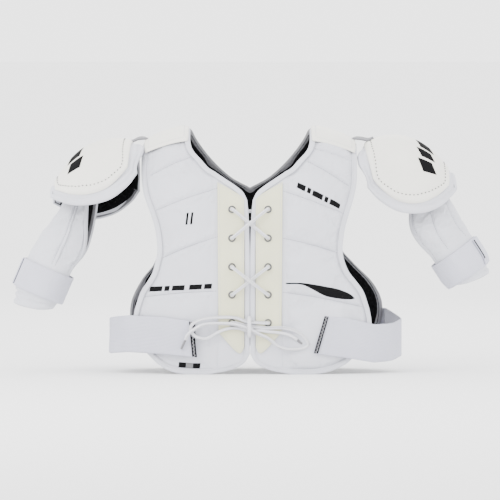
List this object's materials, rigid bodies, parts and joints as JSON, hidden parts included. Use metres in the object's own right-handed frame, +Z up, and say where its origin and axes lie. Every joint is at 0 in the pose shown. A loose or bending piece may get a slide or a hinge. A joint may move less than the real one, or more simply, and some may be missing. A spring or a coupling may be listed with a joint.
{
  "type": "hockey shoulder pads",
  "caption": "Padded hockey vest, laced up the front, with hinged shoulder caps, hanging upper-arm pads and elastic side straps that open.",
  "frame": {"origin": "middle of the pads' bounding box in plan, at the level of the hems they stand on", "axes": "+X to the wearer's left, along the shoulders; -Y is the front with the lacing; +Z up"},
  "size_m": [0.7217, 0.2341, 0.3721],
  "materials": {
    "quilted_white": "cool white brushed polyester knit over foam, soft and matt",
    "lining_black": "black mesh lining, matt",
    "facing_cream": "cream synthetic leather, fine grain, satin",
    "cap_cream": "off-white synthetic leather, pebbled, satin",
    "elastic_white": "white ribbed woven elastic, slightly lavender, matt",
    "webbing_grey": "grey woven tape, matt",
    "hook_black": "black hook and loop tape with a light woven zigzag",
    "lace_white": "white braided lace, matt",
    "aglet_grey": "dark grey plastic lace tip",
    "eyelet_nickel": "polished nickel grommet"
  },
  "bodies": {
    "vest": {"back_pad": "quilted_white", "back_lining": "lining_black", "chest_pad_left": "quilted_white", "chest_pad_right": "quilted_white", "chest_lining_left": "lining_black", "chest_lining_right": "lining_black", "lacing_placket_left": "quilted_white", "lacing_placket_right": "quilted_white", "lacing_facing_left": "facing_cream", "lacing_facing_right": "facing_cream", "eyelet_left_1": "eyelet_nickel", "eyelet_left_2": "eyelet_nickel", "eyelet_left_3": "eyelet_nickel", "eyelet_left_4": "eyelet_nickel", "eyelet_left_5": "eyelet_nickel", "eyelet_right_1": "eyelet_nickel", "eyelet_right_2": "eyelet_nickel", "eyelet_right_3": "eyelet_nickel", "eyelet_right_4": "eyelet_nickel", "eyelet_right_5": "eyelet_nickel", "lace": "lace_white", "lace_knot": "lace_white", "aglet_left": "aglet_grey", "aglet_right": "aglet_grey", "shoulder_yoke_left": "cap_cream", "shoulder_yoke_right": "cap_cream", "loop_patch_left": "hook_black", "loop_patch_right": "hook_black", "strap_root_left": "elastic_white", "strap_root_right": "elastic_white"},
    "strap_left": {"side_strap_left": "elastic_white", "strap_hook_tab_left": "hook_black"},
    "strap_right": {"side_strap_right": "elastic_white", "strap_hook_tab_right": "hook_black"},
    "cap_left": {"cap_shell_left": "cap_cream", "cap_pad_left": "quilted_white", "cap_lining_left": "lining_black", "cap_strap_left": "webbing_grey"},
    "cap_right": {"cap_shell_right": "cap_cream", "cap_pad_right": "quilted_white", "cap_lining_right": "lining_black", "cap_strap_right": "webbing_grey"},
    "hanger_left": {"arm_pad_hanger_left": "webbing_grey"},
    "hanger_right": {"arm_pad_hanger_right": "webbing_grey"},
    "arm_left": {"arm_pad_left": "quilted_white", "arm_lining_left": "lining_black", "arm_band_left": "elastic_white"},
    "arm_right": {"arm_pad_right": "quilted_white", "arm_lining_right": "lining_black", "arm_band_right": "elastic_white"},
    "band_tab_left": {"arm_band_tab_left": "elastic_white"},
    "band_tab_right": {"arm_band_tab_right": "elastic_white"}
  },
  "joints": [
    {"name": "cap_raise_left", "type": "hinge", "parent": "vest", "child": "cap_left", "pos_m": [0.165, 0, 0.345], "axis": [0, -1, 0], "range_deg": [0, 70]},
    {"name": "cap_raise_right", "type": "hinge", "parent": "vest", "child": "cap_right", "pos_m": [-0.165, 0, 0.345], "axis": [0, 1, 0], "range_deg": [0, 70]},
    {"name": "arm_swing_left", "type": "hinge", "parent": "cap_left", "child": "hanger_left", "pos_m": [0.256, 0, 0.288], "axis": [-1, 0, 0], "range_deg": [-12, 12]},
    {"name": "arm_swing_right", "type": "hinge", "parent": "cap_right", "child": "hanger_right", "pos_m": [-0.2565, -0.0245, 0.259], "axis": [-1, 0, 0], "range_deg": [-12, 12]},
    {"name": "arm_spread_left", "type": "hinge", "parent": "hanger_left", "child": "arm_left", "pos_m": [0.256, 0, 0.288], "axis": [0, -1, 0], "range_deg": [-28, 0]},
    {"name": "arm_spread_right", "type": "hinge", "parent": "hanger_right", "child": "arm_right", "pos_m": [-0.2565, -0.0245, 0.259], "axis": [0, 1, 0], "range_deg": [-28, 0]},
    {"name": "band_peel_left", "type": "hinge", "parent": "arm_left", "child": "band_tab_left", "pos_m": [0.33596, 0.0377, 0.18371], "axis": [-0.5151, 0.042, 0.8561], "range_deg": [0, 75]},
    {"name": "band_peel_right", "type": "hinge", "parent": "arm_right", "child": "band_tab_right", "pos_m": [-0.33231, 0.007, 0.15359], "axis": [-0.3896, -0.0364, -0.9203], "range_deg": [0, 75]},
    {"name": "strap_open_left", "type": "hinge", "parent": "vest", "child": "strap_left", "pos_m": [0.209, 0.051, 0.065], "axis": [0, 0, 1], "range_deg": [0, 110]},
    {"name": "strap_open_right", "type": "hinge", "parent": "vest", "child": "strap_right", "pos_m": [-0.191, 0.069, 0.065], "axis": [0, 0, -1], "range_deg": [0, 110]}
  ]
}
